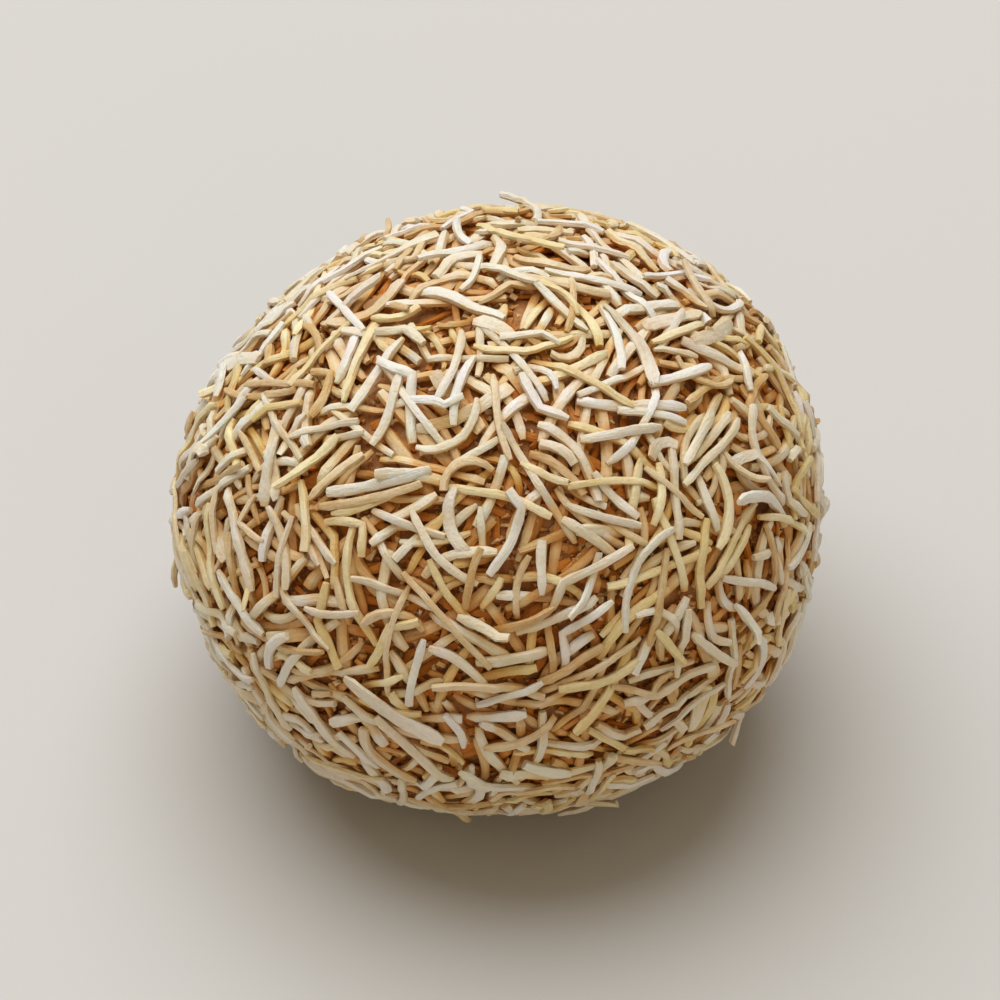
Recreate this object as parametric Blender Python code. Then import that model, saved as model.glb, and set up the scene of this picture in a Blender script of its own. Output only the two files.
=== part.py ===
"""A kunafa ball: a soft, hand-rolled ball of brown date and chocolate paste, coated
all over with short roasted threads of kunafa pastry.

The paste and the threads that stand out of its coat are one solid, because the threads
are pressed into the paste. The origin is in the middle of the small flat spot that the
ball rests on, with +Z up. Lengths are in metres.
"""

import math
import random

import bmesh
import bpy
import numpy as np
from mathutils import Matrix, Vector, noise

# The ball
BALL_WIDTH = 0.0340  # across the pastry coat
SQUASH = 0.88  # height over width, because the soft paste sags as it sets
FLAT_SPOT_WIDTH = 0.0115  # where the ball rests

# The uneven form that rolling by hand leaves
LUMP_HEIGHT = 0.00065
LUMPS_PER_RADIUS = 1.15
LUMP_OFFSET = Vector((7.2, 8.6, 9.8))  # which lumps: these give a fuller right shoulder
PASTE_GRID_CUTS = 7  # the paste is a cube's grid blown up to a ball

# The pastry threads that show from a step away
THREAD_PLACES = 300  # spread evenly; a crowded one stays bare
THREAD_LENGTHS = (0.0034, 0.0066)
THREAD_WIDTHS = (0.00055, 0.00095)
STRAIGHT_UNDER = 0.0045  # a thread shorter than this has no bend
THREAD_BOW = 0.00045  # how far a longer thread's middle is bent sideways
THREAD_RISES = (0.00045, 0.00080)  # how far its top stands out of the paste
THREAD_SINK = 0.00035  # how deep its underside lies in the paste
TOP_SHARE = 0.62  # a thread's top is this much narrower than its foot
PLACE_JITTER = 0.10  # how far a thread strays from its even place, in radii
THREAD_GAP = 0.00015  # the space beside a thread that lies clear of the others
MOST_OVERLAP = 0.45  # the share of a thread that may lie on others
HEADINGS_TRIED = 12
LIFTED_SHARE = 0.14  # the share of threads with one end that stands up
END_LIFT = (0.0002, 0.0007)
SEED = 24

PASTE_RADIUS = BALL_WIDTH / 2 - max(THREAD_RISES)
GOLDEN_ANGLE = math.pi * (3 - math.sqrt(5))


def clear_scene():
    for leftover in list(bpy.data.objects):
        bpy.data.objects.remove(leftover)


def make_material(name, color, roughness):
    """A plain Principled material."""
    material = bpy.data.materials.new(name)
    material.use_nodes = True
    shader = material.node_tree.nodes["Principled BSDF"]
    shader.inputs["Base Color"].default_value = (*color, 1)
    shader.inputs["Roughness"].default_value = roughness
    shader.inputs["Metallic"].default_value = 0
    return material


def centre_height():
    """How high the middle of the round form is over its flat spot."""
    share = FLAT_SPOT_WIDTH / 2 / PASTE_RADIUS
    return PASTE_RADIUS * SQUASH * math.sqrt(1 - share**2)


def paste_point(direction):
    """The point of the lumpy paste surface in this direction from the ball's middle."""
    lump = noise.noise(direction * LUMPS_PER_RADIUS + LUMP_OFFSET)
    point = direction * (PASTE_RADIUS + LUMP_HEIGHT * lump)
    point.z = point.z * SQUASH + centre_height()
    return point


def direction_of(point):
    """The direction from the ball's middle that leads to this point of the surface."""
    return Vector((point.x, point.y, (point.z - centre_height()) / SQUASH)).normalized()


def surface_normal(direction):
    """The outward normal of the squashed form, without its lumps."""
    return Vector((direction.x, direction.y, direction.z / SQUASH)).normalized()


def make_paste(name, material):
    """The rolled ball of paste, cut flat where it rests."""
    shape = bmesh.new()
    bmesh.ops.create_cube(shape, size=2)
    bmesh.ops.subdivide_edges(shape, edges=shape.edges[:], cuts=PASTE_GRID_CUTS, use_grid_fill=True)
    for vertex in shape.verts:
        evened = Vector([math.tan(side * math.pi / 4) for side in vertex.co])
        vertex.co = paste_point(evened.normalized())
    cut = bmesh.ops.bisect_plane(
        shape,
        geom=shape.verts[:] + shape.edges[:] + shape.faces[:],
        plane_co=Vector((0, 0, 0)),
        plane_no=Vector((0, 0, -1)),
        clear_outer=True,
    )
    rim = [part for part in cut["geom_cut"] if isinstance(part, bmesh.types.BMEdge)]
    bmesh.ops.holes_fill(shape, edges=rim)
    bmesh.ops.recalc_face_normals(shape, faces=shape.faces[:])
    mesh = bpy.data.meshes.new(name)
    shape.to_mesh(mesh)
    shape.free()
    mesh.materials.append(material)
    ball = bpy.data.objects.new(name, mesh)
    bpy.context.scene.collection.objects.link(ball)
    return ball


def even_direction(index, draw):
    """One of the thread places' directions from the ball's middle, strayed a little."""
    height = 1 - 2 * (index + 0.5) / THREAD_PLACES
    ring = math.sqrt(1 - height**2)
    turn = index * GOLDEN_ANGLE
    even = Vector((ring * math.cos(turn), ring * math.sin(turn), height))
    stray = Vector([draw.uniform(-PLACE_JITTER, PLACE_JITTER) for _ in range(3)])
    return (even + stray).normalized()


def thread_stations(direction, heading, length, bow, lift):
    """The places that a thread runs through, each as (foot, outward, sideways)."""
    normal = surface_normal(direction)
    along = Matrix.Rotation(heading, 3, normal) @ normal.orthogonal().normalized()
    across = normal.cross(along)
    middle = paste_point(direction)
    shares = (-0.5, 0.5) if length < STRAIGHT_UNDER else (-0.5, 0, 0.5)
    stations = []
    for share in shares:
        sideways = bow * (1 - (2 * share) ** 2)
        near = direction_of(middle + along * (share * length) + across * sideways)
        outward = surface_normal(near)
        lifted = outward * lift * max(0.0, 2 * share)
        stations.append((paste_point(near) + lifted, outward, across))
    return stations


def make_thread(name, stations, width, rise):
    """A short bar of pastry with a narrower top, swept through its stations."""
    shape = bmesh.new()
    corners = (
        (-width / 2, -THREAD_SINK),
        (width / 2, -THREAD_SINK),
        (width / 2 * TOP_SHARE, rise),
        (-width / 2 * TOP_SHARE, rise),
    )
    rings = []
    for foot, outward, across in stations:
        places = [foot + across * side + outward * height for side, height in corners]
        rings.append([shape.verts.new(place) for place in places])
    for here, there in zip(rings, rings[1:]):
        for k in range(len(corners)):
            after = (k + 1) % len(corners)
            shape.faces.new((here[k], here[after], there[after], there[k]))
    shape.faces.new(rings[0])
    shape.faces.new(reversed(rings[-1]))
    bmesh.ops.recalc_face_normals(shape, faces=shape.faces[:])
    mesh = bpy.data.meshes.new(name)
    shape.to_mesh(mesh)
    shape.free()
    return mesh


def points_along(stations, count=7):
    """Points spaced evenly from a thread's first foot to its last."""
    feet = np.array([foot for foot, _, _ in stations])
    places = np.linspace(0, len(feet) - 1, count)
    return np.stack([np.interp(places, range(len(feet)), feet[:, k]) for k in range(3)], axis=1)


def overlap(points, width, taken, taken_widths):
    """The share of a thread's points that lie on the threads placed before it."""
    apart = np.linalg.norm(points[:, None] - taken[None], axis=2)
    return (apart < (width + taken_widths) / 2 + THREAD_GAP).any(axis=1).mean()


def make_threads(material):
    """The coat's larger threads, in a collection of their own. None reaches under the flat spot."""
    draw = random.Random(SEED)
    threads = bpy.data.collections.new("threads")
    bpy.context.scene.collection.children.link(threads)
    taken = np.zeros((0, 3))
    taken_widths = np.zeros(0)
    for index in range(THREAD_PLACES):
        direction = even_direction(index, draw)
        length = draw.uniform(*THREAD_LENGTHS)
        width = draw.uniform(*THREAD_WIDTHS)
        bow = draw.uniform(-THREAD_BOW, THREAD_BOW)
        rise = draw.uniform(*THREAD_RISES)
        lift = draw.uniform(*END_LIFT) if draw.random() < LIFTED_SHARE else 0.0
        first_heading = draw.uniform(0, math.pi)
        least = 1.0
        for turn in range(HEADINGS_TRIED):
            heading = first_heading + turn * GOLDEN_ANGLE
            tried = thread_stations(direction, heading, length, bow, lift)
            tried_points = points_along(tried)
            share = overlap(tried_points, width, taken, taken_widths)
            if share < least:
                least, stations, points = share, tried, tried_points
        if least > MOST_OVERLAP:
            continue
        mesh = make_thread(f"thread_{index:03d}", stations, width, rise)
        if min(vertex.co.z for vertex in mesh.vertices) < 0:
            continue
        taken = np.concatenate([taken, points])
        taken_widths = np.concatenate([taken_widths, np.full(len(points), width)])
        mesh.materials.append(material)
        threads.objects.link(bpy.data.objects.new(mesh.name, mesh))
    return threads


def fuse(body, pieces):
    """Joins a collection of pieces to the body as one solid, then removes them."""
    union = body.modifiers.new("threads", "BOOLEAN")
    union.operation = "UNION"
    union.operand_type = "COLLECTION"
    union.collection = pieces
    union.solver = "MANIFOLD"
    graph = bpy.context.evaluated_depsgraph_get()
    joined = bpy.data.meshes.new_from_object(body.evaluated_get(graph))
    body.modifiers.remove(union)
    body.data = joined
    for piece in list(pieces.objects):
        bpy.data.objects.remove(piece)
    bpy.data.collections.remove(pieces)


def main():
    clear_scene()
    coat = make_material("roasted_kunafa", (0.60, 0.46, 0.28), 0.75)
    ball = make_paste("kunafa_ball", coat)
    fuse(ball, make_threads(coat))
    ball.data.set_sharp_from_angle(angle=math.radians(30))


main()
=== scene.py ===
# %% [markdown]
# # A kunafa ball
#
# A kunafa ball is a sweet. Date and chocolate paste is rolled by hand into a ball, and the
# ball is rolled again in roasted kunafa: pastry drawn out into threads about half a
# millimetre thick and broken short. The threads stick to the soft paste in one or two
# layers, pressed flat by the palm, and the brown paste shows in the gaps between them.
#
# The look lives in those threads, so they are laid one by one, the way they land on the
# real ball: each rests on what is already there. All lengths are in metres.

# %% Load the frame
import math
import random

import bmesh
import bpy
import numpy as np
from mathutils import Matrix, Vector, kdtree, noise


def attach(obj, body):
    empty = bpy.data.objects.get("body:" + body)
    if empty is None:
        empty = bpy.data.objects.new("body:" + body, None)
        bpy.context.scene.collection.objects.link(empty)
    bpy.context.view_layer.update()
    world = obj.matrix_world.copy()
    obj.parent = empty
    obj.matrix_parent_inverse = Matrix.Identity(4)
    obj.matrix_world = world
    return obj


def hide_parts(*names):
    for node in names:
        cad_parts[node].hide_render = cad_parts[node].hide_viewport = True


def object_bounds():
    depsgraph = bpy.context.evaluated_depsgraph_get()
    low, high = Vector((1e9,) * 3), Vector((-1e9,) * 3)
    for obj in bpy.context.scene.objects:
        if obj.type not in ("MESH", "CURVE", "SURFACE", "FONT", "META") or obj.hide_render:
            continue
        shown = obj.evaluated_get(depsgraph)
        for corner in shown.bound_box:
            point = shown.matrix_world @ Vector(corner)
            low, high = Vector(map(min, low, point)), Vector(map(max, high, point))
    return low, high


MM = 0.001
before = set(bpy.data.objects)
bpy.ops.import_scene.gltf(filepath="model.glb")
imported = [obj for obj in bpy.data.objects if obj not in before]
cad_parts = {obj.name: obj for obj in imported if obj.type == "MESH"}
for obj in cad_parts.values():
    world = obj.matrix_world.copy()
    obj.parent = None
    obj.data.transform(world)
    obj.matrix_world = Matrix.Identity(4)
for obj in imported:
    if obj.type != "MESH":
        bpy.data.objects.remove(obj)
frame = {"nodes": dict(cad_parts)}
cad_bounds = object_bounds()
print("the solid to dress:", ", ".join(frame["nodes"]))
print("its box:", cad_bounds)

# %% [markdown]
# ## The form of the paste
#
# A soft ball sags a little as it sets, so it is lower than it is wide, and it rests on a
# small flat spot. Rolling by hand leaves it lopsided by half a millimetre. A sphere with
# a slow noise on its radius, squashed and then cut flat, gives all three in one formula.
# The formula is kept as a function of direction, because the threads need it too: any
# point on them is a direction and a height over the paste.

# %% The paste formula
BALL_WIDTH = 34.0 * MM
SQUASH = 0.88
FLAT_SPOT_WIDTH = 11.5 * MM
LUMP_HEIGHT = 0.65 * MM
LUMPS_PER_RADIUS = 1.15
LUMP_OFFSET = Vector((7.2, 8.6, 9.8))  # which lumps: these give a fuller right shoulder
LARGE_THREAD_RISES = (0.45 * MM, 0.80 * MM)  # how far the larger threads stand out

PASTE_RADIUS = BALL_WIDTH / 2 - LARGE_THREAD_RISES[1]
FLAT_SHARE = FLAT_SPOT_WIDTH / 2 / PASTE_RADIUS
CENTRE_HEIGHT = PASTE_RADIUS * SQUASH * math.sqrt(1 - FLAT_SHARE**2)


def paste_points(directions):
    """The paste surface in these directions from the ball's middle."""
    lumps = [noise.noise(Vector(way) * LUMPS_PER_RADIUS + LUMP_OFFSET) for way in directions]
    points = directions * (PASTE_RADIUS + LUMP_HEIGHT * np.array(lumps))[:, None]
    points[:, 2] = points[:, 2] * SQUASH + CENTRE_HEIGHT
    return points


def unit(vectors):
    return vectors / np.linalg.norm(vectors, axis=-1, keepdims=True)


def directions_of(points):
    """The directions from the ball's middle that lead to these points."""
    return unit((points - (0, 0, CENTRE_HEIGHT)) / (1, 1, SQUASH))


def outward_of(directions):
    """The outward normals of the squashed form, without its lumps."""
    return unit(directions / (1, 1, SQUASH))


top = paste_points(np.array([[0.0, 0.0, 1.0]]))[0]
print(f"the paste is {2 * PASTE_RADIUS / MM:.1f} mm wide and {top[2] / MM:.1f} mm high")

# %% [markdown]
# ## A map of the coat
#
# To rest each thread on the ones below, the script has to know how high the coat stands
# at any place. A map of that is kept at many points spread evenly over the paste by the
# golden angle, and a k-d tree finds the points near a thread quickly. A ray cast on the
# growing mesh would work as well, but it would have to be rebuilt after every thread.

# %% Spread the map's points over the paste
GOLDEN_ANGLE = math.pi * (3 - math.sqrt(5))
MAP_POINTS = 110_000


def even_directions(count):
    index = np.arange(count)
    height = 1 - 2 * (index + 0.5) / count
    ring = np.sqrt(1 - height**2)
    turn = index * GOLDEN_ANGLE
    return np.stack([ring * np.cos(turn), ring * np.sin(turn), height], axis=1)


map_directions = even_directions(MAP_POINTS)
map_points = paste_points(map_directions)
map_tree = kdtree.KDTree(MAP_POINTS)
for index, point in enumerate(map_points):
    map_tree.insert(point, index)
map_tree.balance()
coat_height = np.zeros(MAP_POINTS)
spacing = map_tree.find_n(map_points[0], 2)[1][2]
print(f"{MAP_POINTS} map points, {spacing / MM:.2f} mm apart")

# %% [markdown]
# ## Lay a thread
#
# A thread is laid in three steps. Its path is drawn flat and carried on to the ball. The
# coat's height is read along the path, also at both sides of the thread. A dry thread is
# stiff and bridges the hollows, so the heights are smoothed upwards, and the palm presses
# down what would stand too high. Low on the ball there is less room, because there the
# floor is what presses. Then the map is raised where the thread lies. A simulation would
# settle three thousand threads as well, but it would take hours to say much the same.

# %% Draw a flat path
STEP = 0.5 * MM  # between two points of a thread's path
FEWEST_POINTS = 4
WANDER = math.radians(2.5)  # how far its heading strays from one point to the next


def flat_path(length, turn, kink, kink_place, draw):
    """A path in the plane around its own middle: it bends, wanders and has one sharper kink."""
    count = max(FEWEST_POINTS, round(length / STEP) + 1)
    share = np.linspace(0, 1, count)
    wander = np.cumsum([draw.gauss(0, WANDER) for _ in share])
    heading = turn * (share - 0.5) + kink * (share > kink_place) + wander
    step = length / (count - 1)
    moves = np.stack([np.cos(heading), np.sin(heading)], axis=1)[:-1] * step
    path = np.concatenate([[[0.0, 0.0]], np.cumsum(moves, axis=0)])
    return path - path.mean(axis=0)


# %% Carry a path on to the ball
ASKEW = (0.36, 0.48, 0.8)  # any direction will do, as long as it is always the same


def side_at(outward):
    """The direction on the surface from which headings are counted."""
    return unit(np.cross(outward, ASKEW))


def carry_on_to_ball(path, direction, heading):
    """The path's places on the paste and their outward normals, with its middle at a direction."""
    outward = outward_of(direction)
    side = side_at(outward)
    along = side * math.cos(heading) + np.cross(outward, side) * math.sin(heading)
    across = np.cross(outward, along)
    middle = paste_points(direction[None])[0]
    ways = directions_of(middle + path[:, :1] * along + path[:, 1:] * across)
    return paste_points(ways), outward_of(ways)


# %% Read the coat's height
EDGE = 0.7  # the share of a thread's half width at which its edges are felt
READS_PER_STEP = 3
COAT_LIMIT = 1.30 * MM  # the palm presses down what would be higher
LEVEL = 1e-6  # how far outward has to point down for the floor to limit the coat


def sideways_of(points, outward):
    return unit(np.cross(outward, np.gradient(points, axis=0)))


def heights_under(points, outward, half_width):
    """The coat's greatest height under a thread's middle and edges, near each of its points."""
    side = sideways_of(points, outward) * half_width * EDGE
    ahead = np.gradient(points, axis=0) / READS_PER_STEP
    reads = []
    for line in (points, points + side, points - side):
        for places in (line - ahead, line, line + ahead):
            nearest = [map_tree.find(place)[1] for place in places]
            reads.append(coat_height[nearest])
    return np.max(reads, axis=0)


def room_for_coat(points, outward):
    """How high the coat may stand here, under the palm or over the floor."""
    downward = np.maximum(-outward[:, 2], LEVEL)
    return np.minimum(COAT_LIMIT, np.maximum(points[:, 2], 0) / downward)


# %% Rest a thread on the coat and raise the map
THREAD_SINK = 0.10 * MM  # how deep the first threads sit in the paste
PRESS = 0.10  # the share of the height that pressing takes away
SMOOTHINGS = 3  # a stiff thread bridges the hollows
DENSER = 3  # the map is raised at this many places for each point of the path
TAKEN = 0.02 * MM  # the least height that marks a place as taken


def top_over(height, thickness):
    """How high a thread's top stands over the paste when the coat below it is this high."""
    return height * (1 - PRESS) - THREAD_SINK + thickness


def rest(under, thickness, room):
    """The height of a stiff thread's centre line over the paste."""
    height = under.copy()
    for _ in range(SMOOTHINGS):
        padded = np.pad(height, 1, mode="edge")
        height = np.maximum(height, (padded[:-2] + 2 * padded[1:-1] + padded[2:]) / 4)
    return np.minimum(top_over(height, thickness), room) - thickness / 2


def points_between(points, places):
    """Points at these places along a line whose own points are at 0, 1, 2 and so on."""
    known = np.arange(len(points))
    return np.stack([np.interp(places, known, points[:, k]) for k in range(3)], axis=1)


def raise_map(thread):
    """Raises the coat's map where a thread lies."""
    points, half_width = thread["points"], thread["width"] / 2
    places = np.linspace(0, len(points) - 1, DENSER * len(points))
    levels = np.interp(places, np.arange(len(points)), thread["height"])
    for place, level in zip(points_between(points, places), levels):
        for _, index, apart in map_tree.find_range(place, half_width):
            rounding = math.sqrt(max(0.0, 1 - (apart / half_width) ** 2))
            top = level + thread["thickness"] / 2 * rounding
            coat_height[index] = max(coat_height[index], top, TAKEN)


# %% [markdown]
# ## The larger threads
#
# A few hundred threads are wider than the rest and show from a step away. The solid ball
# already has them, at even places that are jittered, each turned to cross the fewest
# others. The same rule with the same seed finds them again here, so that the fine model
# and the solid one agree. Here they become rounded threads that swell and thin a little.

# %% A larger thread's sizes and path
THREAD_PLACES = 300
LARGE_LENGTHS = (3.4 * MM, 6.6 * MM)
LARGE_WIDTHS = (0.55 * MM, 0.95 * MM)
STRAIGHT_UNDER = 4.5 * MM
LARGE_BOW = 0.45 * MM
PLACE_JITTER = 0.10
LIFTED_SHARE = 0.14
END_LIFT = (0.2 * MM, 0.7 * MM)


def large_thread_points(place, shares):
    """Points on the paste along a larger thread, at these shares of its length from its middle."""
    normal = outward_of(place["direction"])
    turned = Matrix.Rotation(place["heading"], 3, Vector(normal))
    along = np.array(turned @ Vector(normal).orthogonal().normalized())
    across = np.cross(normal, along)
    middle = paste_points(place["direction"][None])[0]
    shares = np.asarray(shares)[:, None]
    bow = place["bow"] * (1 - (2 * shares) ** 2)
    return paste_points(directions_of(middle + along * shares * place["length"] + across * bow))


def draw_place(even_direction, draw):
    """A larger thread's middle, sizes and first heading."""
    stray = [draw.uniform(-PLACE_JITTER, PLACE_JITTER) for _ in range(3)]
    place = {"direction": unit(even_direction + stray)}
    place["length"] = draw.uniform(*LARGE_LENGTHS)
    place["width"] = draw.uniform(*LARGE_WIDTHS)
    place["bow"] = draw.uniform(-LARGE_BOW, LARGE_BOW)
    place["rise"] = draw.uniform(*LARGE_THREAD_RISES)
    place["lift"] = draw.uniform(*END_LIFT) if draw.random() < LIFTED_SHARE else 0.0
    place["heading"] = draw.uniform(0, math.pi)
    return place


# %% Find the larger threads again
LARGE_SEED = 24
HEADINGS_TRIED = 12
POINTS_COMPARED = 7
THREAD_GAP = 0.15 * MM
MOST_OVERLAP = 0.45
LEAST_HEIGHT = 0.35 * MM  # none reaches under the flat spot


def crossed_share(points, width, taken, taken_widths):
    apart = np.linalg.norm(points[:, None] - taken[None], axis=2)
    return (apart < (width + taken_widths) / 2 + THREAD_GAP).any(axis=1).mean()


def find_large_threads():
    draw = random.Random(LARGE_SEED)
    taken, taken_widths, found = np.zeros((0, 3)), np.zeros(0), []
    for even_direction in even_directions(THREAD_PLACES):
        place = draw_place(even_direction, draw)
        shares = (-0.5, 0.5) if place["length"] < STRAIGHT_UNDER else (-0.5, 0, 0.5)
        least = 1.0
        for turn in range(HEADINGS_TRIED):
            tried = {**place, "heading": place["heading"] + turn * GOLDEN_ANGLE}
            ends = large_thread_points(tried, shares)
            line = points_between(ends, np.linspace(0, len(ends) - 1, POINTS_COMPARED))
            share = crossed_share(line, place["width"], taken, taken_widths)
            if share < least:
                least, chosen, points = share, tried, line
        if least > MOST_OVERLAP or points[:, 2].min() < LEAST_HEIGHT:
            continue
        taken = np.concatenate([taken, points])
        taken_widths = np.concatenate([taken_widths, np.full(POINTS_COMPARED, place["width"])])
        found.append(chosen)
    return found


large_places = find_large_threads()
print(len(large_places), "larger threads")

# %% [markdown]
# ## Kinds of thread
#
# The threads that land first sink into the paste and take on its brown. The ones that land
# later stay pale, or golden from the butter, or toasted, and a few are flat strips, where
# threads ran together on the hot plate. Each kind becomes one mesh with its own finish,
# but the later kinds are laid in one mixed order, because that is what makes them lie
# over and under each other.

# %% The kinds and their sizes
FIRST_KINDS = {
    "stained_threads": {"share": 1, "widths": (0.42, 0.62), "flat": 0.60, "toast": (0.0, 1.0)},
}
LATER_KINDS = {
    "pale_threads": {"share": 0.56, "widths": (0.42, 0.66), "flat": 0.84, "toast": (0.0, 0.9)},
    "golden_threads": {"share": 0.22, "widths": (0.42, 0.60), "flat": 0.84, "toast": (0.0, 1.0)},
    "toasted_threads": {"share": 0.18, "widths": (0.38, 0.56), "flat": 0.84, "toast": (0.0, 1.0)},
    "pastry_strips": {"share": 0.04, "widths": (0.70, 1.00), "flat": 0.36, "toast": (0.0, 0.8)},
}
for kind, facts in LATER_KINDS.items():
    print(f"{kind}: {facts['share']:.0%} of the threads that land later")

# %% Draw one thread
LENGTHS = (1.8 * MM, 7.2 * MM, 4.0 * MM)  # shortest, longest, most usual
BIT_LENGTHS = (0.8 * MM, 3.0 * MM, 1.5 * MM)
BEND_SPREAD = math.radians(28)
HOOKED_SHARE = 0.11
HOOKS = (60, 150)  # degrees, from end to end
KINKED_SHARE = 0.12
KINKS = (30, 80)  # degrees, at one place
KINK_PLACES = (0.25, 0.75)  # shares of the length


def draw_thread(kinds, lengths, draw):
    """The kind, size and bend of one thread."""
    kind = draw.choices(list(kinds), [facts["share"] for facts in kinds.values()])[0]
    length = draw.triangular(*lengths)
    turn = draw.gauss(0, BEND_SPREAD)
    kink = 0.0
    if draw.random() < HOOKED_SHARE:
        turn = draw.choice((-1, 1)) * math.radians(draw.uniform(*HOOKS))
    elif draw.random() < KINKED_SHARE:
        kink = draw.choice((-1, 1)) * math.radians(draw.uniform(*KINKS))
    thread = {"kind": kind, "width": draw.uniform(*kinds[kind]["widths"]) * MM}
    thread["thickness"] = thread["width"] * kinds[kind]["flat"]
    thread["toast"] = draw.uniform(*kinds[kind]["toast"])
    thread["path"] = flat_path(length, turn, kink, draw.uniform(*KINK_PLACES), draw)
    return thread


# %% [markdown]
# ## Roll the ball in the threads
#
# The ball is rolled three times: in threads that sink into the paste, in short bits that
# fill between them, and in the pale threads that show. Each thread tries a few places and
# settles where the coat is lowest, as threads fall into hollows on the real ball. Some of
# the tries lie beside an earlier thread and nearly along it, because kunafa breaks up in
# small bundles. A slow noise keeps the coat thin in patches, where the paste shows, and
# a thread that the palm would crush falls off again.

# %% Lie beside an earlier thread
BUNDLE_SPREAD = math.radians(11)
BUNDLE_SLIDE = 1 * MM
BUNDLE_GAP = 1.05  # from middle to middle, in the two threads' mean width


def lay_beside(earlier, width, draw):
    """A direction and heading next to an earlier thread, nearly along it."""
    middle = len(earlier["points"]) // 2
    along = unit(earlier["points"][middle] - earlier["points"][middle - 1])
    outward = earlier["outward"][middle]
    offset = (earlier["width"] + width) / 2 * draw.choice((-BUNDLE_GAP, BUNDLE_GAP))
    slide = along * draw.uniform(-1, 1) * BUNDLE_SLIDE
    beside = earlier["points"][middle] + np.cross(outward, along) * offset + slide
    direction = directions_of(beside)
    outward = outward_of(direction)
    side = side_at(outward)
    heading = math.atan2(along @ np.cross(outward, side), along @ side)
    return direction, heading + draw.gauss(0, BUNDLE_SPREAD)


# %% Choose where a thread lands
FEWEST_FOR_BUNDLES = 50
PEAK_PART = 3  # a high point under a thread counts a third
CRUSHING_COST = 4.0  # how much a thread avoids a place where the palm would crush it
THIN_PATCHES_PER_RADIUS = 2.6
THIN_PATCH_COST = 0.65 * MM
STREWN_FROM = np.array([-0.15, 0.45, 0.88])  # the side where more of the last threads land


def settle(thread, rolling, laid, draw):
    """Tries a few places for a thread and lays it where the coat is lowest.

    Returns how far the thread is crushed into the ones that it crosses there.
    """
    best = math.inf
    for number in range(rolling["tries"]):
        if number < rolling["tries in bundles"] and len(laid) > FEWEST_FOR_BUNDLES:
            earlier = laid[draw.randrange(len(laid))]
            direction, heading = lay_beside(earlier, thread["width"], draw)
        else:
            direction = map_directions[draw.randrange(MAP_POINTS)]
            heading = draw.uniform(0, 2 * math.pi)
        points, outward = carry_on_to_ball(thread["path"], direction, heading)
        under = heights_under(points, outward, thread["width"] / 2)
        room = room_for_coat(points, outward)
        excess = np.where(under > 0, top_over(under, thread["thickness"]) - room, 0)
        crushed = max(0.0, excess.max())
        cost = under.mean() + under.max() / PEAK_PART + crushed * CRUSHING_COST
        patch = noise.noise(Vector(direction) * THIN_PATCHES_PER_RADIUS)
        cost += max(0.0, patch) * THIN_PATCH_COST
        cost -= max(0.0, direction @ STREWN_FROM) * rolling["strewn gain"]
        if cost < best:
            best = cost
            kept = points, outward, under, room, crushed
    thread["points"], thread["outward"], under, room, crushed = kept
    thread["height"] = rest(under, thread["thickness"], room)
    return crushed


# %% Roll in fine threads
CRUSHED_MOST = 0.05 * MM  # a thread that would be crushed more falls off again
SUNK_THREADS = {"count": 700, "kinds": FIRST_KINDS, "lengths": LENGTHS}
SUNK_THREADS.update({"tries": 9, "tries in bundles": 4, "strewn gain": 0})
FILLING_BITS = {"count": 900, "kinds": FIRST_KINDS, "lengths": BIT_LENGTHS}
FILLING_BITS.update({"tries": 16, "tries in bundles": 0, "strewn gain": 0})
TOP_THREADS = {"count": 2100, "kinds": LATER_KINDS, "lengths": LENGTHS}
TOP_THREADS.update({"tries": 9, "tries in bundles": 4, "strewn gain": 0.2 * MM})


def roll_in(rolling, laid, draw):
    """Rolls the ball in fine threads: each one lands, or falls off again."""
    for _ in range(rolling["count"]):
        thread = draw_thread(rolling["kinds"], rolling["lengths"], draw)
        if settle(thread, rolling, laid, draw) > CRUSHED_MOST:
            continue
        raise_map(thread)
        laid.append(thread)


# %% Lay the larger threads
LARGE_WIDTH_SHARE = 0.86  # a rounded thread looks as wide as the solid one when it is narrower
LARGE_FLATNESS = 0.7
LARGE_TOASTS = (0.05, 0.5)


def lay_large_threads(laid, draw):
    for place in large_places:
        count = round(place["length"] / STEP) + 1
        shares = np.linspace(-0.5, 0.5, count)
        thread = {"kind": "large_threads", "width": place["width"] * LARGE_WIDTH_SHARE}
        thread["thickness"] = LARGE_FLATNESS * thread["width"]
        thread["toast"] = draw.uniform(*LARGE_TOASTS)
        thread["points"] = large_thread_points(place, shares)
        thread["outward"] = outward_of(directions_of(thread["points"]))
        thread["height"] = np.full(count, place["rise"] - thread["thickness"] / 2)
        raise_map(thread)
        thread["height"] += place["lift"] * np.maximum(0, 2 * shares)
        laid.append(thread)


# %% Roll the ball
LAYING_SEED = 11
draw = random.Random(LAYING_SEED)
threads = []
roll_in(SUNK_THREADS, threads, draw)
roll_in(FILLING_BITS, threads, draw)
lay_large_threads(threads, draw)
roll_in(TOP_THREADS, threads, draw)
bare = (coat_height <= 0).mean()
print(f"{len(threads)} threads; the paste is bare over {bare:.0%}")
print(f"the coat is {coat_height.mean() / MM:.2f} mm high on average")

# %% [markdown]
# ## The threads that the ball rests on
#
# The ball's own weight presses the threads under it flat, crossing each other, half in the
# paste. There is no coat to build up there, so they aren't settled like the others: they
# lie all over the flat spot, each at its own small height over the floor.

# %% Lay the threads under the ball
UNDER_THREADS = 150
UNDER_REACH = 0.6 * FLAT_SPOT_WIDTH  # how far from the middle they lie
UNDER_RAISES = (0.04 * MM, 0.40 * MM)  # how far they are over the floor


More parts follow.
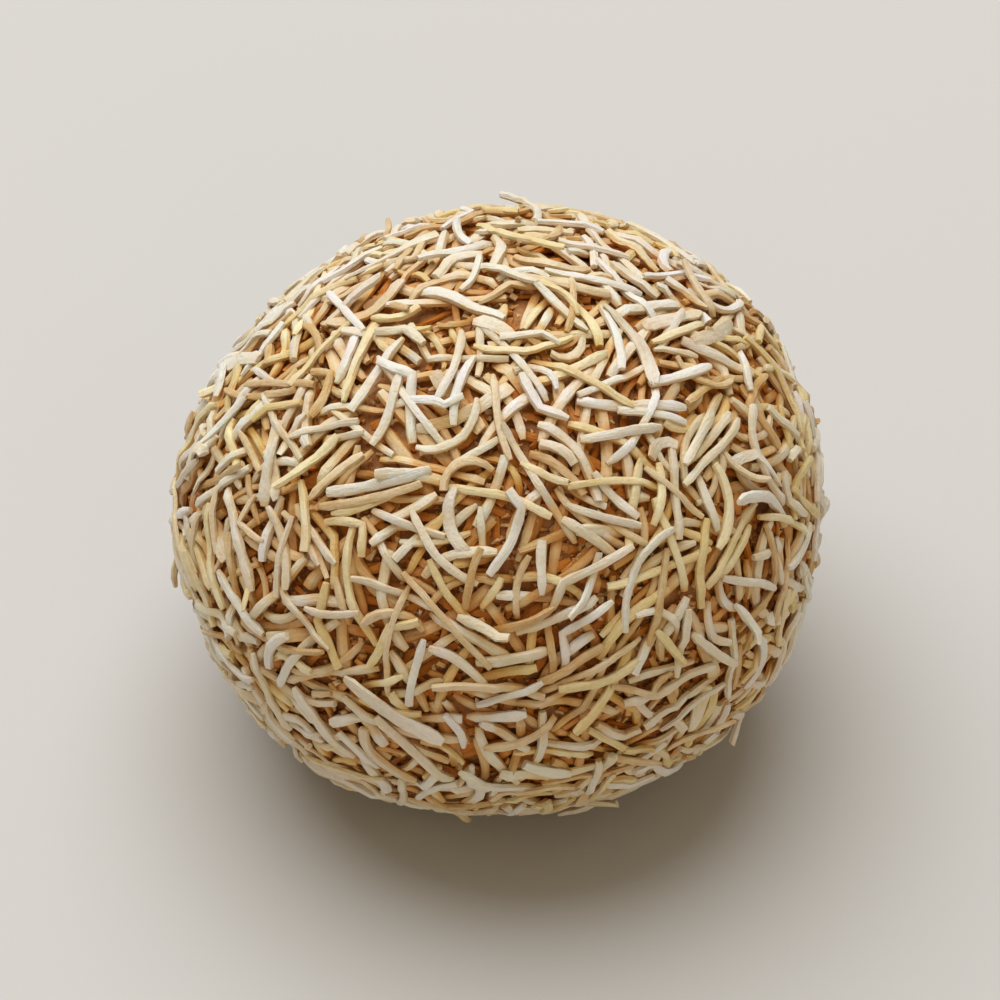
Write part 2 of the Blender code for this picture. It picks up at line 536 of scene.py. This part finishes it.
def lay_under_threads(laid, draw):
    kinds = {**FIRST_KINDS, **LATER_KINDS}
    for _ in range(UNDER_THREADS):
        thread = draw_thread(kinds, LENGTHS, draw)
        turn = draw.uniform(0, 2 * math.pi)
        reach = UNDER_REACH * math.sqrt(draw.random())
        middle = np.array([reach * math.cos(turn), reach * math.sin(turn), 0])
        heading = draw.uniform(0, 2 * math.pi)
        placed = carry_on_to_ball(thread["path"], directions_of(middle), heading)
        thread["points"], thread["outward"] = placed
        thread["height"] = np.full(len(thread["points"]), -thread["thickness"] / 2)
        thread["raised"] = draw.uniform(*UNDER_RAISES)
        laid.append(thread)


lay_under_threads(threads, draw)
print(UNDER_THREADS, "threads under the ball")

# %% [markdown]
# ## How deep a thread lies
#
# What lies deep in the coat is given a painted shade, darker and redder, as in the gaps
# between the threads. Depth is counted from the tops of the threads around, not from the
# paste, so that the top threads stay pale where the coat is thin. The tops are read from
# the map at fewer points.

# %% The coat's top all over the ball
TOP_POINTS = 9000
TOP_REACH = 0.9 * MM
TOP_RANK = 85  # the per cent of the map's heights around that are lower


def coat_tops():
    """A k-d tree of points on the paste and the coat's top around each of them."""
    points = paste_points(even_directions(TOP_POINTS))
    tree = kdtree.KDTree(TOP_POINTS)
    tops = np.zeros(TOP_POINTS)
    for index, point in enumerate(points):
        tree.insert(point, index)
        around = [found[1] for found in map_tree.find_range(point, TOP_REACH)]
        tops[index] = np.percentile(coat_height[around], TOP_RANK)
    tree.balance()
    return tree, tops


top_tree, tops = coat_tops()
for thread in threads:
    thread["cover"] = tops[[top_tree.find(point)[1] for point in thread["points"]]]
print(f"the coat's top is {tops.min() / MM:.2f} to {tops.max() / MM:.2f} mm over the paste")

# %% [markdown]
# ## Loose ends
#
# A few threads don't lie down: one end stands up from the coat. They give the ball its
# slightly hairy outline, so a small share of the fine threads is bent up at one end, by a
# parabola that starts at the other end. Near the floor they would be pressed down.

# %% Lift some ends
LOOSE_SHARE = 0.10
LOOSE_LIFT = (0.3 * MM, 1.0 * MM)
LOOSE_FROM = 3 * MM  # over the floor
ROOM = 0.6 * MM  # how far an end may stand out of the solid ball's box


def within_room(points):
    low, high = np.array(cad_bounds)
    return (points > low - ROOM).all() and (points < high + ROOM).all()


def lifted_heights(thread, draw):
    """The heights of a thread when its end stands up, or its old ones where there's no room."""
    share = np.linspace(0, 1, len(thread["points"]))
    heights = thread["height"] + draw.uniform(*LOOSE_LIFT) * share**2
    line = thread["points"] + thread["outward"] * heights[:, None]
    return heights if within_room(line) else thread["height"]


lifted = 0
for thread in threads:
    on_show = thread["kind"] in LATER_KINDS and thread["points"][:, 2].min() > LOOSE_FROM
    if on_show and draw.random() < LOOSE_SHARE:
        heights = lifted_heights(thread, draw)
        lifted += heights is not thread["height"]
        thread["height"] = heights
print(lifted, "threads have a loose end")

# %% [markdown]
# ## Sweep the threads
#
# Geometry Nodes turn paths into threads. Each kind's paths go in as bare edges that carry
# attributes: half the width, the outward direction, the depth under the coat's top, how
# toasted the thread is, and the distance along it. The tree makes curves of them, stands
# the curves' normals outward so that a flat thread lies flat, and sweeps a small polygon
# along. Then it works out each vertex's own depth, for the painted shade of the gaps, and
# a place along and around the thread, for the grain. The finishes read these.
#
# A bevel on plain curves would be quicker to set up, but it gives every thread the same
# round section and stores nothing for the finishes. In a script a tree is nodes and links
# between their sockets, so one helper adds a node and fills its sockets in one line.

# %% Add a node
def add_node(tree, kind, inputs=None, output=0, **settings):
    """Adds a node, with sockets or plain values on its inputs, and returns one of its outputs."""
    node = tree.nodes.new(kind)
    for name, value in settings.items():
        setattr(node, name, value)
    for name, value in (inputs or {}).items():
        if isinstance(value, bpy.types.NodeSocket):
            tree.links.new(value, node.inputs[name])
        else:
            node.inputs[name].default_value = value
    return node.outputs[output]


def math_node(tree, operation, *values, vector=False):
    """A maths node with these sockets and plain values as its inputs."""
    kind = "ShaderNodeVectorMath" if vector else "ShaderNodeMath"
    output = "Vector" if vector and operation != "DOT_PRODUCT" else "Value"
    return add_node(tree, kind, dict(enumerate(values)), output, operation=operation)


# %% Read and store attributes, and press a mesh flat
RESTING_GAP = 0.01 * MM  # nothing comes closer to the floor


def stored(tree, name, kind="FLOAT"):
    """What is stored on the geometry's points under this name."""
    named = {"Name": name}
    return add_node(tree, "GeometryNodeInputNamedAttribute", named, "Attribute", data_type=kind)


def store(tree, geometry, name, value, kind="FLOAT"):
    """Stores a value on the geometry's points and returns the geometry."""
    inputs = {"Geometry": geometry, "Name": name, "Value": value}
    return add_node(tree, "GeometryNodeStoreNamedAttribute", inputs, data_type=kind)


def press_flat(tree, geometry):
    """Moves up to the floor what would reach under it."""
    position = add_node(tree, "GeometryNodeInputPosition")
    x, y, z = add_node(tree, "ShaderNodeSeparateXYZ", {"Vector": position}).node.outputs
    above = math_node(tree, "MAXIMUM", z, RESTING_GAP)
    pressed = add_node(tree, "ShaderNodeCombineXYZ", {"X": x, "Y": y, "Z": above})
    return add_node(tree, "GeometryNodeSetPosition", {"Geometry": geometry, "Position": pressed})


# %% Begin and end a tree
SOCKETS = {int: "NodeSocketInt", float: "NodeSocketFloat"}


def new_tree(name, sizes):
    """A tree that takes a mesh, these sizes and a finish, and the sockets that give them."""
    tree = bpy.data.node_groups.new(name, "GeometryNodeTree")
    add = tree.interface.new_socket
    add(name="Geometry", in_out="INPUT", socket_type="NodeSocketGeometry")
    for size, usual in sizes.items():
        socket = add(name=size, in_out="INPUT", socket_type=SOCKETS[type(usual)])
        socket.default_value = usual
    add(name="Finish", in_out="INPUT", socket_type="NodeSocketMaterial")
    add(name="Geometry", in_out="OUTPUT", socket_type="NodeSocketGeometry")
    return tree, tree.nodes.new("NodeGroupInput").outputs


def end_tree(tree, geometry, finish):
    """Makes instances real, gives them their finish and ends the tree."""
    real = add_node(tree, "GeometryNodeRealizeInstances", {"Geometry": geometry})
    finished = add_node(tree, "GeometryNodeSetMaterial", {"Geometry": real, "Material": finish})
    tree.links.new(finished, tree.nodes.new("NodeGroupOutput").inputs["Geometry"])


# %% The sweep tree
def make_sweep_tree():
    """A tree that sweeps an oval with few sides along every path."""
    tree, given = new_tree("sweep_threads", {"Sides": 6, "Thickness share": 0.8})
    position = add_node(tree, "GeometryNodeInputPosition")
    outward = stored(tree, "outward", "FLOAT_VECTOR")

    # paths to curves that remember where their centre line is
    curves = add_node(tree, "GeometryNodeMeshToCurve", {"Mesh": given["Geometry"]})
    stand = {"Curve": curves, "Normal": outward}
    curves = add_node(tree, "GeometryNodeSetCurveNormal", stand, mode="FREE")
    curves = store(tree, curves, "centre", position, "FLOAT_VECTOR")

    # the oval profile, whose points remember where around the thread they are
    ring = {"Resolution": given["Sides"], "Radius": 1.0}
    circle = add_node(tree, "GeometryNodeCurvePrimitiveCircle", ring)
    factors = {"X": given["Thickness share"], "Y": 1.0, "Z": 1.0}
    squash = add_node(tree, "ShaderNodeCombineXYZ", factors)
    oval = add_node(tree, "GeometryNodeTransform", {"Geometry": circle, "Scale": squash})
    oval = store(tree, oval, "around", position, "FLOAT_VECTOR")
    sweep = {"Curve": curves, "Profile Curve": oval, "Fill Caps": True}
    sweep["Scale"] = stored(tree, "half_width")
    threads = add_node(tree, "GeometryNodeCurveToMesh", sweep)

    # each vertex's depth in the coat and its place along and around the thread
    centre = stored(tree, "centre", "FLOAT_VECTOR")
    away = math_node(tree, "SUBTRACT", position, centre, vector=True)
    rise = math_node(tree, "DOT_PRODUCT", away, outward, vector=True)
    depth = math_node(tree, "SUBTRACT", stored(tree, "depth"), rise)
    threads = store(tree, threads, "depth", depth)
    around = {"Vector": stored(tree, "around", "FLOAT_VECTOR")}
    x, y, _ = add_node(tree, "ShaderNodeSeparateXYZ", around).node.outputs
    parts = {"X": x, "Y": y, "Z": stored(tree, "along")}
    place = add_node(tree, "ShaderNodeCombineXYZ", parts)
    threads = store(tree, threads, "place", place, "FLOAT_VECTOR")
    pressed = {"Geometry": press_flat(tree, threads)}
    end_tree(tree, add_node(tree, "GeometryNodeSetShadeSmooth", pressed), given["Finish"])
    return tree


sweep_tree = make_sweep_tree()
print("the sweep tree has", len(sweep_tree.nodes), "nodes")


# %% Run a tree and keep its mesh
def new_object(name, data):
    made = bpy.data.objects.new(name, data)
    bpy.context.scene.collection.objects.link(made)
    return made


def run_tree(piece, tree, values):
    """Runs a Geometry Nodes tree on a piece and leaves the result as its plain mesh."""
    modifier = piece.modifiers.new(tree.name, "NODES")
    modifier.node_group = tree
    for socket in tree.interface.items_tree:
        if socket.in_out == "INPUT" and socket.name in values:
            modifier[socket.identifier] = values[socket.name]
    graph = bpy.context.evaluated_depsgraph_get()
    mesh = bpy.data.meshes.new_from_object(piece.evaluated_get(graph))
    piece.modifiers.remove(modifier)
    piece.data = mesh
    mesh.name = piece.name
    mesh.calc_loop_triangles()
    print(f"{piece.name}: {len(mesh.loop_triangles)} triangles")


def adopt(piece):
    """Makes a piece part of the ball, in place of the solid one."""
    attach(piece, "root")
    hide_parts("kunafa_ball")


# %% A thread's line, widths and twist
SWELL = 0.10  # how much a thread's width changes along it
LEAN = math.radians(22)  # how far a thread is rolled over
TWIST = math.radians(35)  # and how far it is twisted along its length
END_SHARES = (0.55, 0.95)  # a broken end is narrower


def thread_line(thread):
    """A thread's centre line in space, kept over the floor."""
    line = thread["points"] + thread["outward"] * thread["height"][:, None]
    lowest = thread["thickness"] / 2 + RESTING_GAP + thread.get("raised", 0)
    line[:, 2] = np.maximum(line[:, 2], lowest)
    return line


def half_widths(thread, draw):
    widths = [thread["width"] / 2 * (1 + draw.uniform(-SWELL, SWELL)) for _ in thread["points"]]
    widths[0] *= draw.uniform(*END_SHARES)
    widths[-1] *= draw.uniform(*END_SHARES)
    return widths


def twisted_outward(thread, draw):
    """The outward directions of a thread that is rolled over and twisted a little."""
    share = np.linspace(-1, 1, len(thread["points"]))
    angles = draw.uniform(-LEAN, LEAN) + draw.uniform(-TWIST, TWIST) * share
    side = sideways_of(thread["points"], thread["outward"])
    return thread["outward"] * np.cos(angles)[:, None] + side * np.sin(angles)[:, None]


# %% Turn laid threads into paths with attributes
END_TOAST = 0.5  # how much browner a broken end can be


def path_mesh(name, group, draw):
    """One mesh of bare edges with the attributes that the sweep reads."""
    points, edges, outward = [], [], []
    values = {"half_width": [], "toast": [], "depth": [], "along": []}
    for thread in group:
        first = len(points)
        count = len(thread["points"])
        points.extend(thread_line(thread))
        edges.extend((k, k + 1) for k in range(first, first + count - 1))
        outward.extend(twisted_outward(thread, draw))
        values["half_width"].extend(half_widths(thread, draw))
        toast = np.full(count, thread["toast"])
        toast[[0, -1]] += draw.uniform(0, END_TOAST), draw.uniform(0, END_TOAST)
        values["toast"].extend(toast)
        values["depth"].extend(thread["cover"] - thread["height"] + thread.get("raised", 0))
        values["along"].extend(draw.uniform(0, 1) + STEP * np.arange(count))
    mesh = bpy.data.meshes.new(name)
    mesh.from_pydata(points, edges, [])
    for attribute, numbers in values.items():
        mesh.attributes.new(attribute, "FLOAT", "POINT").data.foreach_set("value", numbers)
    mesh.attributes.new("outward", "FLOAT_VECTOR", "POINT").data.foreach_set(
        "vector", np.array(outward).ravel()
    )
    return mesh


# %% [markdown]
# ## Finishes
#
# Roasted kunafa is pale straw with darker, browner threads among it, and browner at the
# broken ends. Deep in the coat a thread gets a painted shade, darker and redder, as the
# gaps between the threads are. It is dry, but the butter leaves a faint gloss. In places
# cocoa from the paste has rubbed off on the threads, which turns them a little pink.
# Painted textures would need an unwrapped mesh, so the finish is worked out from the
# threads' attributes and from noises of several sizes: the roasting changes over the ball,
# along a thread and from grain to grain. A little light passes through so thin a pastry,
# which softens the shadows between the threads.

# %% Mix colours and add noises
def mix_by(tree, factor, low, high):
    """A colour that goes from low to high as the factor goes from 0 to 1."""
    mix = add_node(tree, "ShaderNodeMix", {"Factor": factor}, data_type="RGBA").node
    ends = [socket for socket in mix.inputs if socket.type == "RGBA"]
    for end, color in zip(ends, (low, high)):
        end.default_value = (*color, 1)
    return next(socket for socket in mix.outputs if socket.type == "RGBA")


def noise_in_place(tree, size, detail=2.0):
    """A noise over the piece whose features are about this large."""
    cloud = {"Vector": add_node(tree, "ShaderNodeTexCoord", output="Object")}
    cloud.update({"Scale": 1 / size, "Detail": detail})
    return add_node(tree, "ShaderNodeTexNoise", cloud, "Fac")


def centred(tree, texture, strength):
    """A texture that goes from 0 to 1, made to go from minus to plus half its strength."""
    return math_node(tree, "MULTIPLY_ADD", texture, strength, -strength / 2)


# %% Begin a finish, read attributes and add bump
def read_attribute(tree, name, output="Fac"):
    return add_node(tree, "ShaderNodeAttribute", output=output, attribute_name=name)


def add_bump(tree, height, texture, shader):
    bump = add_node(tree, "ShaderNodeBump", {"Distance": height, "Height": texture})
    tree.links.new(bump, shader.inputs["Normal"])


def new_finish(name, values):
    """A material whose shader has these values all over, its tree and the shader."""
    material = bpy.data.materials.new(name)
    material.use_nodes = True
    shader = material.node_tree.nodes["Principled BSDF"]
    for socket, value in values.items():
        shader.inputs[socket].default_value = value
    return material, material.node_tree, shader


# %% The grain and the painted shade of a thread
GRAIN_LINES = 2.2
GRAIN_LENGTH = 0.8 * MM
# painted shade: the deeper a vertex lies under the coat's top, the darker and redder it is made,
# as in the gaps between threads
SHADE_DEPTH = 0.75 * MM  # where the painted shade of the gaps is darkest
SHADE_BY_DEPTH = (  # the share of that depth and what the painted shade leaves of the pastry's colour
    (0.08, (1.0, 1.0, 1.0)),
    (0.30, (0.98, 0.91, 0.78)),
    (0.60, (0.93, 0.69, 0.39)),
    (1.00, (0.74, 0.34, 0.075)),
)


def grain_along(tree):
    """A noise in streaks along each thread."""
    stretch = (GRAIN_LINES, GRAIN_LINES, 1 / GRAIN_LENGTH)
    place = read_attribute(tree, "place", "Vector")
    place = math_node(tree, "MULTIPLY", place, stretch, vector=True)
    streaks = {"Vector": place, "Scale": 1.0, "Detail": 2.0}
    return add_node(tree, "ShaderNodeTexNoise", streaks, "Fac")


def painted_shade_by_depth(tree):
    """What the painted shade of the gaps leaves of the pastry's colour at each vertex's depth."""
    depth = math_node(tree, "DIVIDE", read_attribute(tree, "depth"), SHADE_DEPTH)
    left = add_node(tree, "ShaderNodeValToRGB", {"Fac": depth}, "Color")
    marks = left.node.color_ramp.elements
    while len(marks) < len(SHADE_BY_DEPTH):
        marks.new(0.5)
    for mark, (share, color) in zip(marks, SHADE_BY_DEPTH):
        mark.position = share
        mark.color = (*color, 1)
    return left


# %% The thread finish
CLOUDS = ((0.3 * MM, 0.7), (1.1 * MM, 1.1), (6.0 * MM, 1.8))  # size and strength
STREAKS = 0.9  # their strength
TINT_SIZE = 4.0 * MM
TINT_EDGE = 3.0  # how sharply one tint gives way to the other
TINTS = (1.0, 1.005, 0.95), (1.0, 0.965, 1.0)  # bare pastry, and where cocoa rubbed off on it
BLISTERS = 0.2 * MM
BLISTER_HEIGHT = 0.06 * MM
BUTTERY = 0.3  # the gloss of a thread
DULL = 0.15  # the gloss of one that lies in the paste
PASTRY = {
    "Roughness": 0.45,
    "Subsurface Weight": 0.3,
    "Subsurface Scale": 1.0,
    "Subsurface Radius": (0.22 * MM, 0.15 * MM, 0.10 * MM),  # how far red, green and blue pass
}


def roasted_tone(tree, streaks):
    """How brown the roasting left the pastry, from 0 to 1."""
    tone = read_attribute(tree, "toast")
    changes = [(noise_in_place(tree, size), strength) for size, strength in CLOUDS]
    for change, strength in changes + [(streaks, STREAKS)]:
        tone = math_node(tree, "ADD", tone, centred(tree, change, strength))
    tone.node.use_clamp = True
    return tone


def thread_finish(name, pale, brown, gloss=BUTTERY):
    """Dry roasted pastry whose tone follows its toasting, a painted shade by depth and noises."""
    material, tree, shader = new_finish(name, {**PASTRY, "Specular IOR Level": gloss})
    streaks = grain_along(tree)
    pastry = mix_by(tree, roasted_tone(tree, streaks), pale, brown)
    tints = noise_in_place(tree, TINT_SIZE)
    rubbed = math_node(tree, "MULTIPLY_ADD", tints, TINT_EDGE, (1 - TINT_EDGE) / 2)
    rubbed.node.use_clamp = True
    # the cocoa tints, then the painted shade that darkens and reddens what lies deep in the coat
    for change in (mix_by(tree, rubbed, *TINTS), painted_shade_by_depth(tree)):
        pastry = math_node(tree, "MULTIPLY", pastry, change, vector=True)
    tree.links.new(pastry, shader.inputs["Base Color"])
    blisters = noise_in_place(tree, BLISTERS, detail=3.0)
    add_bump(tree, BLISTER_HEIGHT, math_node(tree, "ADD", blisters, streaks), shader)
    return material


# %% Mix a finish for each kind of thread
finishes = {
    "stained_threads": thread_finish(
        "stained_pastry", (0.78, 0.62, 0.42), (0.64, 0.44, 0.23), gloss=DULL
    ),
    "pale_threads": thread_finish("pale_pastry", (0.755, 0.73, 0.67), (0.70, 0.60, 0.42)),
    "golden_threads": thread_finish("golden_pastry", (0.80, 0.71, 0.47), (0.68, 0.53, 0.25)),
    "toasted_threads": thread_finish("toasted_pastry", (0.73, 0.60, 0.40), (0.56, 0.36, 0.15)),
    "pastry_strips": thread_finish("strip_pastry", (0.76, 0.72, 0.62), (0.66, 0.52, 0.33)),
    "large_threads": thread_finish("large_pastry", (0.76, 0.73, 0.65), (0.70, 0.58, 0.39)),
}
print(len(finishes), "thread finishes")

# %% Make each kind of thread
SHARP_FROM = math.radians(62)  # the rims of the broken ends
shape_draw = random.Random(LAYING_SEED + 1)
for kind, finish in finishes.items():
    group = [thread for thread in threads if thread["kind"] == kind]
    piece = new_object(kind, path_mesh(kind, group, shape_draw))
    share = group[0]["thickness"] / group[0]["width"]
    run_tree(piece, sweep_tree, {"Thickness share": share, "Finish": finish})
    piece.data.set_sharp_from_angle(angle=SHARP_FROM)
    adopt(piece)

# %% [markdown]
# ## The paste
#
# The paste shows only between the threads, but there it sets the warm brown of every gap.
# It is mashed date with cocoa: sticky, a little glossy, and marked with small dents where
# threads pressed into it. A sphere from the Add menu bunches its faces at two poles. A
# cube's grid blown up to a ball has even faces all round, and the dents come out even too.

# %% Model the paste
PASTE_CUTS = 47
DENT_SIZE = 0.9 * MM
DENT_DEPTH = 0.12 * MM
UNDER_COAT = 0.42 * MM  # the threads that the ball rests on keep it this far over the floor


def blown_up_cube(cuts):
    """A cube's grid, and the direction from the middle that each of its points stands for."""
    shape = bmesh.new()
    bmesh.ops.create_cube(shape, size=2)
    bmesh.ops.subdivide_edges(shape, edges=shape.edges[:], cuts=cuts, use_grid_fill=True)
    directions = unit(np.tan(np.array([vertex.co for vertex in shape.verts]) * math.pi / 4))
    return shape, directions


paste_shape, paste_ways = blown_up_cube(PASTE_CUTS)
places = paste_points(paste_ways)
dents = np.array([noise.noise(Vector(place) / DENT_SIZE) for place in places])
places += outward_of(paste_ways) * (dents * DENT_DEPTH)[:, None]
places[:, 2] = np.maximum(places[:, 2], UNDER_COAT)
for vertex, place in zip(paste_shape.verts, places):
    vertex.co = place
paste_mesh = bpy.data.meshes.new("date_paste")
paste_shape.to_mesh(paste_mesh)
paste_shape.free()
paste_mesh.shade_smooth()
paste = new_object("date_paste", paste_mesh)
print("date_paste:", 2 * len(paste_mesh.polygons), "triangles")


# %% The paste finish
OPEN_COVERS = (0.35 * MM, 0.80 * MM)  # under the first the paste lies open
BLOTCHES = (1.6 * MM, 0.8)  # size and strength
FIBRES = (0.35 * MM, 1.2)
# painted shade: the paste turns from the open colour to the darker, redder one as the coat over it
# thickens
OPEN_PASTE, SHADED_PASTE = (0.52, 0.33, 0.205), (0.44, 0.180, 0.050)
ROUGH_PASTE = 0.20 * MM
cover = paste_mesh.attributes.new("cover", "FLOAT", "POINT")
covers = tops[[top_tree.find(place)[1] for place in places]]
# under the ball the paste gets the full painted shade
covers[places[:, 2] <= UNDER_COAT] = OPEN_COVERS[1]
cover.data.foreach_set("value", covers)


def paste_finish():
    """Paste that is paler where it lies open, and darker and redder under the threads, as painted
    shade.
    """
    sticky = {"Roughness": 0.5, "Specular IOR Level": 0.2}
    material, tree, shader = new_finish("date_and_chocolate", sticky)
    # the painted shade follows the coat's height; blotches and fibres add a random tone
    covered = {"Value": read_attribute(tree, "cover")}
    covered.update({"From Min": OPEN_COVERS[0], "From Max": OPEN_COVERS[1]})
    shade_and_blotches = add_node(tree, "ShaderNodeMapRange", covered, "Result")
    for (size, strength), detail in ((BLOTCHES, 2.0), (FIBRES, 3.0)):
        change = centred(tree, noise_in_place(tree, size, detail), strength)
        shade_and_blotches = math_node(tree, "ADD", shade_and_blotches, change)
    shade_and_blotches.node.use_clamp = True
    color = mix_by(tree, shade_and_blotches, OPEN_PASTE, SHADED_PASTE)
    tree.links.new(color, shader.inputs["Base Color"])
    add_bump(tree, ROUGH_PASTE, noise_in_place(tree, FIBRES[0], detail=4.0), shader)
    return material


paste.data.materials.append(paste_finish())
adopt(paste)
print(f"the coat's top is {covers.mean() / MM:.2f} mm over the paste on average")

# %% [markdown]
# ## Crumbs
#
# Broken pastry leaves crumbs between the threads. They are too many and too small to lay
# one by one, so Geometry Nodes scatter points over the paste, put a tiny cube on each,
# stretch, turn and lift it at random from fixed seeds, and push its corners about by a
# noise, so that no two crumbs are alike. Near the flat spot the points are left out.

# %% Helpers for crumbs
RAGGED_SIZE = 0.15 * MM
RAGGED_AMOUNT = 0.5 * MM


def random_value(tree, low, high, seed):
    """A random number for each point or crumb, or a random vector between two corners."""
    vector = isinstance(low, tuple)
    node = tree.nodes.new("FunctionNodeRandomValue")
    node.data_type = "FLOAT_VECTOR" if vector else "FLOAT"
    smallest = 0 if vector else 2  # the places of the sockets of each type
    node.inputs[smallest].default_value = low
    node.inputs[smallest + 1].default_value = high
    node.inputs["Seed"].default_value = seed
    return node.outputs[0 if vector else 1]


def scaled(tree, vector, factor):
    return add_node(tree, "ShaderNodeVectorMath", {0: vector, "Scale": factor}, operation="SCALE")


def make_ragged(tree, geometry):
    """Moves every vertex by a noise of its place, so that no two crumbs are alike."""
    cloud = add_node(tree, "ShaderNodeTexNoise", {"Scale": 1 / RAGGED_SIZE}, "Color")
    shift = math_node(tree, "SUBTRACT", cloud, (0.5, 0.5, 0.5), vector=True)
    moved = {"Geometry": geometry, "Offset": scaled(tree, shift, RAGGED_AMOUNT)}
    return add_node(tree, "GeometryNodeSetPosition", moved)


# %% The crumb tree
CRUMBS = {
    "Crumbs per square metre": 3_000_000.0,
    "Crumb size": 0.16 * MM,
    "Highest": 0.4 * MM,
    "Lowest place": 0.6 * MM,
    "Seed": 3,
}
CRUMB_STRETCHES = (0.5, 0.5, 0.4), (3.2, 1.8, 1.2)
CRUMB_TUMBLES = (-0.4, -0.4, 0), (0.4, 0.4, math.tau)
CRUMB_DEPTH = 0.7 * MM  # of the lowest ones, for the painted shade


def make_crumb_tree():
    """A tree that replaces a surface by crumbs scattered over it."""
    tree, given = new_tree("scatter_crumbs", CRUMBS)
    scatter = {"Mesh": given["Geometry"], "Density": given["Crumbs per square metre"]}
    scatter["Seed"] = given["Seed"]
    found = add_node(tree, "GeometryNodeDistributePointsOnFaces", scatter).node.outputs

    # points at random heights over the surface, none near the flat spot
    rise = math_node(tree, "MULTIPLY", random_value(tree, 0.0, 1.0, seed=1), given["Highest"])
    position = {"Vector": add_node(tree, "GeometryNodeInputPosition")}
    height = add_node(tree, "ShaderNodeSeparateXYZ", position, "Z")
    too_low = math_node(tree, "LESS_THAN", height, given["Lowest place"])
    dropped = {"Geometry": found["Points"], "Selection": too_low}
    kept = add_node(tree, "GeometryNodeDeleteGeometry", dropped)
    lift = {"Geometry": kept, "Offset": scaled(tree, found["Normal"], rise)}
    points = add_node(tree, "GeometryNodeSetPosition", lift)
    # the lower a crumb lies, the deeper it counts, for the painted shade
    points = store(tree, points, "depth", math_node(tree, "SUBTRACT", CRUMB_DEPTH, rise))
    points = store(tree, points, "toast", random_value(tree, 0.0, 1.0, seed=4))

    # a stretched and turned cube on each, with its corners pushed about
    cube = add_node(tree, "GeometryNodeMeshCube", {"Size": given["Crumb size"]})
    place = {"Points": points, "Instance": cube, "Rotation": found["Rotation"]}
    place["Scale"] = random_value(tree, *CRUMB_STRETCHES, seed=3)
    placed = add_node(tree, "GeometryNodeInstanceOnPoints", place)
    turn = {"Instances": placed, "Rotation": random_value(tree, *CRUMB_TUMBLES, seed=2)}
    turned = add_node(tree, "GeometryNodeRotateInstances", turn)
    crumbs = add_node(tree, "GeometryNodeRealizeInstances", {"Geometry": turned})
    end_tree(tree, press_flat(tree, make_ragged(tree, crumbs)), given["Finish"])
    return tree


# %% Scatter the crumbs
crumbs = new_object("pastry_crumbs", paste.data.copy())
crumb_finish = thread_finish("crumb_pastry", (0.78, 0.65, 0.46), (0.60, 0.41, 0.21))
run_tree(crumbs, make_crumb_tree(), {"Finish": crumb_finish})
adopt(crumbs)

# %% [markdown]
# ## The set
#
# The ball stands on a plain pale floor under one large soft light, a little behind it,
# which leaves the top bright and the lower half in soft shade. A small lamp would draw a
# hard shadow beside every thread. A weak, warm fill from the front keeps the gaps
# readable. The camera looks down at 44 degrees through a long lens.

# %% Floor
FLOOR_HALF = 1.5
floor = new_object("floor", bpy.data.meshes.new("floor"))
corners = [(x * FLOOR_HALF, y * FLOOR_HALF, 0) for x, y in ((-1, -1), (1, -1), (1, 1), (-1, 1))]
floor.data.from_pydata(corners, [], [(0, 1, 2, 3)])
PALE_FLOOR = {"Base Color": (0.53, 0.505, 0.475, 1), "Roughness": 0.8}
floor.data.materials.append(new_finish("pale_floor", PALE_FLOOR)[0])
print("a floor", 2 * FLOOR_HALF, "m wide")


# %% Lights
BALL_MIDDLE = Vector((0, 0, 14 * MM))
ROOM_LIGHT = {"Color": (1, 0.91, 0.74, 1), "Strength": 0.34}


def soft_light(name, place, size, power, color):
    """A round area light that faces the ball."""
    data = bpy.data.lights.new(name, "AREA")
    data.shape = "DISK"
    data.size, data.energy, data.color = size, power, color
    light = new_object(name, data)
    light.location = place
    light.rotation_euler = (BALL_MIDDLE - Vector(place)).to_track_quat("-Z", "Y").to_euler()


soft_light("soft_box", (-0.10, 0.21, 0.575), size=0.8, power=5.75, color=(0.91, 0.95, 1))
soft_light("front_fill", (0.20, -0.60, 0.20), size=0.5, power=0.65, color=(1, 0.80, 0.50))
world = bpy.data.worlds.new("studio")
world.use_nodes = True
for socket, value in ROOM_LIGHT.items():
    world.node_tree.nodes["Background"].inputs[socket].default_value = value
bpy.context.scene.world = world
bpy.context.scene.view_settings.view_transform = "Standard"

# %% Camera
VIEW_ELEVATION = math.radians(44)
VIEW_DISTANCE = 0.575
BALL_SHARE_OF_FRAME = 0.64
SENSOR_WIDTH = 36.0

lens = bpy.data.cameras.new("camera")
lens.sensor_width = SENSOR_WIDTH
lens.sensor_fit = "HORIZONTAL"
lens.lens = SENSOR_WIDTH * VIEW_DISTANCE / (BALL_WIDTH / BALL_SHARE_OF_FRAME)
camera = new_object("camera", lens)
away = Vector((0, -math.cos(VIEW_ELEVATION), math.sin(VIEW_ELEVATION)))
camera.location = BALL_MIDDLE + away * VIEW_DISTANCE
camera.rotation_euler = (-away).to_track_quat("-Z", "Y").to_euler()
bpy.context.scene.camera = camera
print(f"a {lens.lens:.0f} mm lens, {VIEW_DISTANCE} m away")
